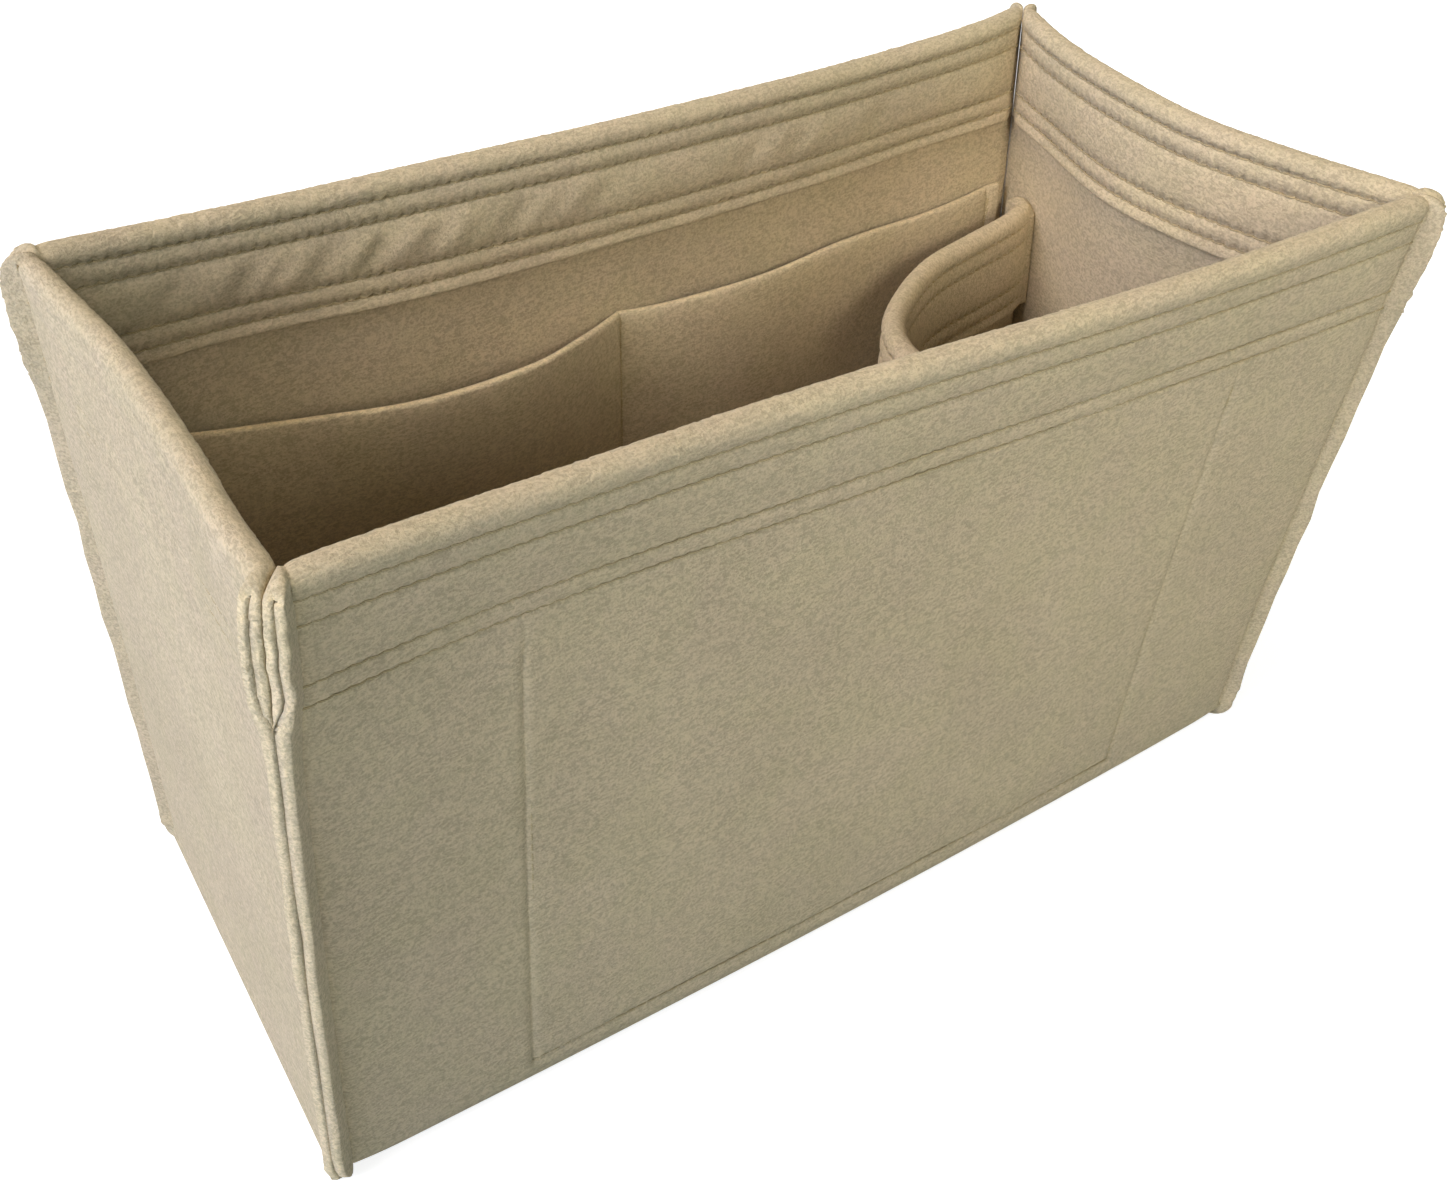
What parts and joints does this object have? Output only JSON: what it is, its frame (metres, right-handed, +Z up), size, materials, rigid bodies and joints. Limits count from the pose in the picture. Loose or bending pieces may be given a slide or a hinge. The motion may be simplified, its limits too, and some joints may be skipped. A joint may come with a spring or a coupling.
{
  "type": "purse organizer insert",
  "caption": "Open felt box that stands inside a handbag, with hemmed walls, a divided back pocket, a front pocket and a bottle holder at one end.",
  "frame": {"origin": "middle of the footprint, on the ground that the insert stands on", "axes": "+Z up, +X along the length towards the end with the bottle holder, +Y towards the wall with the divided pocket"},
  "size_m": [0.3224, 0.1618, 0.1852],
  "materials": {
    "felt": "beige needle-punched felt, matt, with a fine short nap",
    "thread": "beige sewing thread, slightly darker than the felt"
  },
  "bodies": {
    "root": {"front_base_back_strip": "felt", "left_end_panel": "felt", "right_end_panel": "felt", "back_pocket": "felt", "front_pocket": "felt", "bottle_holder": "felt", "front_hem_row_1_outside_thread": "thread", "front_hem_row_1_inside_thread": "thread", "front_hem_row_2_outside_thread": "thread", "front_hem_row_2_inside_thread": "thread", "front_hem_row_3_outside_thread": "thread", "front_hem_row_3_inside_thread": "thread", "front_hem_row_4_outside_thread": "thread", "front_hem_row_4_inside_thread": "thread", "back_hem_row_1_outside_thread": "thread", "back_hem_row_1_inside_thread": "thread", "back_hem_row_2_outside_thread": "thread", "back_hem_row_2_inside_thread": "thread", "back_hem_row_3_outside_thread": "thread", "back_hem_row_3_inside_thread": "thread", "back_hem_row_4_outside_thread": "thread", "back_hem_row_4_inside_thread": "thread", "left_hem_row_1_outside_thread": "thread", "left_hem_row_1_inside_thread": "thread", "left_hem_row_2_outside_thread": "thread", "left_hem_row_2_inside_thread": "thread", "left_hem_row_3_outside_thread": "thread", "left_hem_row_3_inside_thread": "thread", "left_hem_row_4_outside_thread": "thread", "left_hem_row_4_inside_thread": "thread", "right_hem_row_1_outside_thread": "thread", "right_hem_row_1_inside_thread": "thread", "right_hem_row_2_outside_thread": "thread", "right_hem_row_2_inside_thread": "thread", "right_hem_row_3_outside_thread": "thread", "right_hem_row_3_inside_thread": "thread", "right_hem_row_4_outside_thread": "thread", "right_hem_row_4_inside_thread": "thread", "left_end_seam_strip_side_thread": "thread", "left_end_seam_panel_side_thread": "thread", "right_end_seam_strip_side_thread": "thread", "right_end_seam_panel_side_thread": "thread", "back_pocket_seam_outside_thread": "thread", "back_pocket_seam_inside_thread": "thread", "back_pocket_divider_outside_thread": "thread", "back_pocket_divider_inside_thread": "thread", "front_pocket_seam_outside_thread": "thread", "front_pocket_seam_inside_thread": "thread", "bottle_holder_row_1_outside_thread": "thread", "bottle_holder_row_1_inside_thread": "thread", "bottle_holder_row_2_outside_thread": "thread", "bottle_holder_row_2_inside_thread": "thread", "bottle_holder_row_3_outside_thread": "thread", "bottle_holder_row_3_inside_thread": "thread", "bottle_holder_row_4_outside_thread": "thread", "bottle_holder_row_4_inside_thread": "thread", "bottle_holder_back_seam_outside_thread": "thread", "bottle_holder_back_seam_inside_thread": "thread", "bottle_holder_front_seam_outside_thread": "thread", "bottle_holder_front_seam_inside_thread": "thread"}
  },
  "joints": []
}
